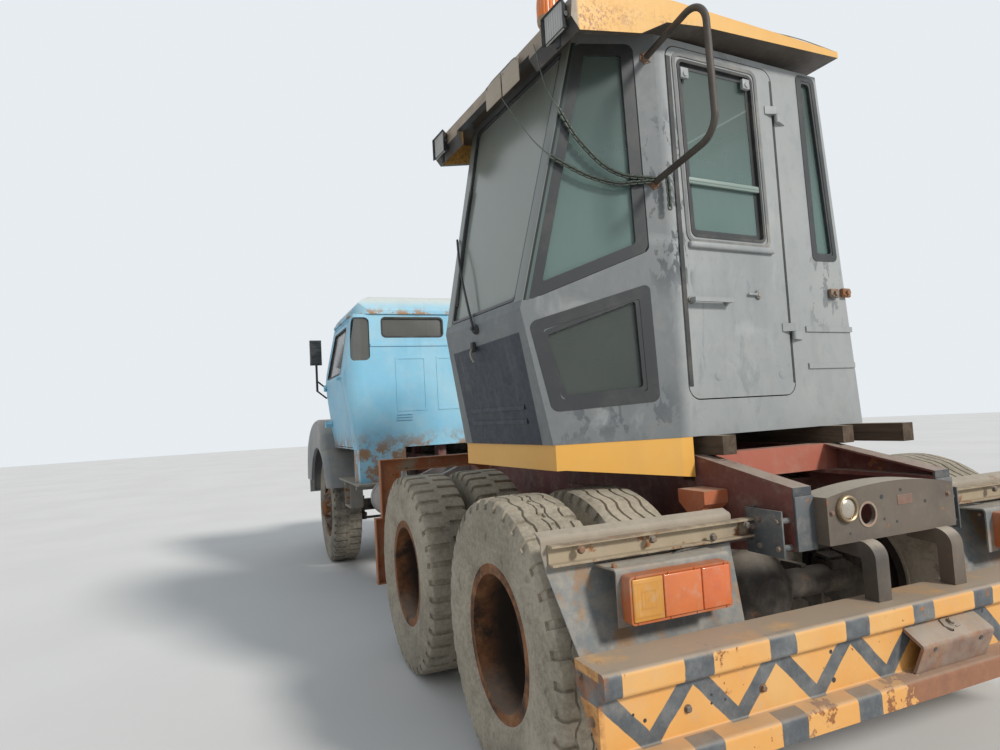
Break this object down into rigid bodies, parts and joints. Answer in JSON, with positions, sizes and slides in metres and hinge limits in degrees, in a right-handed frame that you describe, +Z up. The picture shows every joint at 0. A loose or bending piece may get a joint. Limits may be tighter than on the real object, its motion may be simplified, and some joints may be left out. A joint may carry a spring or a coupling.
{
  "type": "three-axle truck chassis with a loose crane cab",
  "caption": "Old bonneted truck chassis with a blue driver's cab, bare rear frame, striped rear bumper and a grey crane operator's cab standing crosswise over the rear axles.",
  "frame": {"origin": "on the ground, below the middle of the truck's bounding box", "axes": "+X forward, +Y to the driver's left, +Z up"},
  "size_m": [6.7997, 2.63, 3.09],
  "materials": {
    "frame_paint": "weathered red-brown paint",
    "bumper_paint": "yellow with dark stripes",
    "bare_rust": "rusty and dusty",
    "dusty_sheet": "dusty grey",
    "galvanised": "galvanised",
    "tyre": "dusty",
    "rim": "rusty",
    "blue_paint": "faded light blue",
    "roof_blue": "pale blue, chipped",
    "grey_paint": "weathered light grey",
    "amber_paint": "amber yellow, rust speckled",
    "lamp": "orange and amber",
    "clear_glass": "dusty, green tint",
    "interior": "dark",
    "tank_paint": "dark dusty grey",
    "wood": "weathered",
    "mirror": "black",
    "tube": "light grey",
    "grey_fender": "grey primer"
  },
  "bodies": {
    "chassis": {"cab_glass": "clear_glass", "cab_interior": "interior", "cab_roof": "roof_blue", "cab_shell": "blue_paint", "crossmembers": "frame_paint", "driveline": "bare_rust", "engine": "bare_rust", "frame": "frame_paint", "front_bumper": "grey_fender", "front_fenders": "grey_fender", "front_suspension": "bare_rust", "guard_loop": "tube", "headlamps": "lamp", "mirrors": "mirror", "mudguard_frames": "galvanised", "mudguards": "dusty_sheet", "nose": "blue_paint", "rear_bumper": "bumper_paint", "rear_crossmember": "frame_paint", "rear_lamps": "lamp", "rear_suspension": "bare_rust", "steps": "dusty_sheet", "subframe": "frame_paint", "tanks": "tank_paint", "timbers": "wood", "torque_rods": "bare_rust", "tow_box": "bare_rust", "upper_glass": "clear_glass", "upper_interior": "interior", "upper_lamps": "lamp", "upper_roof": "amber_paint", "upper_shell": "grey_paint", "upper_skirt": "amber_paint"},
    "wheel_front_left": {"tyre_front_left": "tyre", "rim_front_left": "rim"},
    "wheel_front_right": {"tyre_front_right": "tyre", "rim_front_right": "rim"},
    "wheel_middle_left": {"tyre_middle_left": "tyre", "rim_middle_left": "rim"},
    "wheel_middle_right": {"tyre_middle_right": "tyre", "rim_middle_right": "rim"},
    "wheel_rear_left": {"tyre_rear_left": "tyre", "rim_rear_left": "rim"},
    "wheel_rear_right": {"tyre_rear_right": "tyre", "rim_rear_right": "rim"},
    "steer_left": {"knuckle_left": "bare_rust"},
    "steer_right": {"knuckle_right": "bare_rust"},
    "track_rod": {"track_rod": "bare_rust"},
    "door_left": {"door_left": "blue_paint", "door_glass_left": "clear_glass", "door_handle_left": "blue_paint"},
    "door_right": {"door_right": "blue_paint", "door_glass_right": "clear_glass", "door_handle_right": "blue_paint"},
    "bonnet": {"bonnet": "blue_paint"},
    "upper_door": {"upper_door": "grey_paint", "upper_door_glass": "clear_glass"}
  },
  "joints": [
    {"name": "wheel_front_left_spin", "type": "hinge", "parent": "steer_left", "child": "wheel_front_left", "pos_m": [2.146, 1.026, 0.53], "axis": [0, 1, 0], "continuous": true},
    {"name": "wheel_front_right_spin", "type": "hinge", "parent": "steer_right", "child": "wheel_front_right", "pos_m": [2.146, -1.026, 0.53], "axis": [0, 1, 0], "continuous": true},
    {"name": "wheel_middle_left_spin", "type": "hinge", "parent": "chassis", "child": "wheel_middle_left", "pos_m": [-1.202, 0.914, 0.53], "axis": [0, 1, 0], "continuous": true},
    {"name": "wheel_middle_right_spin", "type": "hinge", "parent": "chassis", "child": "wheel_middle_right", "pos_m": [-1.202, -0.914, 0.53], "axis": [0, 1, 0], "continuous": true},
    {"name": "wheel_rear_left_spin", "type": "hinge", "parent": "chassis", "child": "wheel_rear_left", "pos_m": [-2.52, 0.914, 0.53], "axis": [0, 1, 0], "continuous": true},
    {"name": "wheel_rear_right_spin", "type": "hinge", "parent": "chassis", "child": "wheel_rear_right", "pos_m": [-2.52, -0.914, 0.53], "axis": [0, 1, 0], "continuous": true},
    {"name": "steer_left", "type": "hinge", "parent": "chassis", "child": "steer_left", "pos_m": [2.146, 0.82, 0.53], "axis": [0, 0, 1], "range_deg": [-35, 35]},
    {"name": "steer_right", "type": "hinge", "parent": "chassis", "child": "steer_right", "pos_m": [2.146, -0.82, 0.53], "axis": [0, 0, 1], "range_deg": [-35, 35]},
    {"name": "track_rod_pivot", "type": "hinge", "parent": "steer_left", "child": "track_rod", "pos_m": [1.956, 0.82, 0.42], "axis": [0, 0, 1], "range_deg": [-35, 35]},
    {"name": "door_left_hinge", "type": "hinge", "parent": "chassis", "child": "door_left", "pos_m": [1.7465, 1.19, 1.55], "axis": [0, 0, -1], "range_deg": [0, 70]},
    {"name": "door_right_hinge", "type": "hinge", "parent": "chassis", "child": "door_right", "pos_m": [1.7465, -1.19, 1.55], "axis": [0, 0, 1], "range_deg": [0, 70]},
    {"name": "bonnet_hinge", "type": "hinge", "parent": "chassis", "child": "bonnet", "pos_m": [1.848, 0, 1.771], "axis": [0, -1, 0], "range_deg": [0, 50]},
    {"name": "upper_door_hinge", "type": "hinge", "parent": "chassis", "child": "upper_door", "pos_m": [-2.70215, -0.20985, 2.1], "axis": [0, 0, 1], "range_deg": [0, 90]}
  ],
  "couplings": [
    {"joint": "steer_right", "follows": "steer_left", "ratio": 1},
    {"joint": "track_rod_pivot", "follows": "steer_left", "ratio": -1}
  ]
}
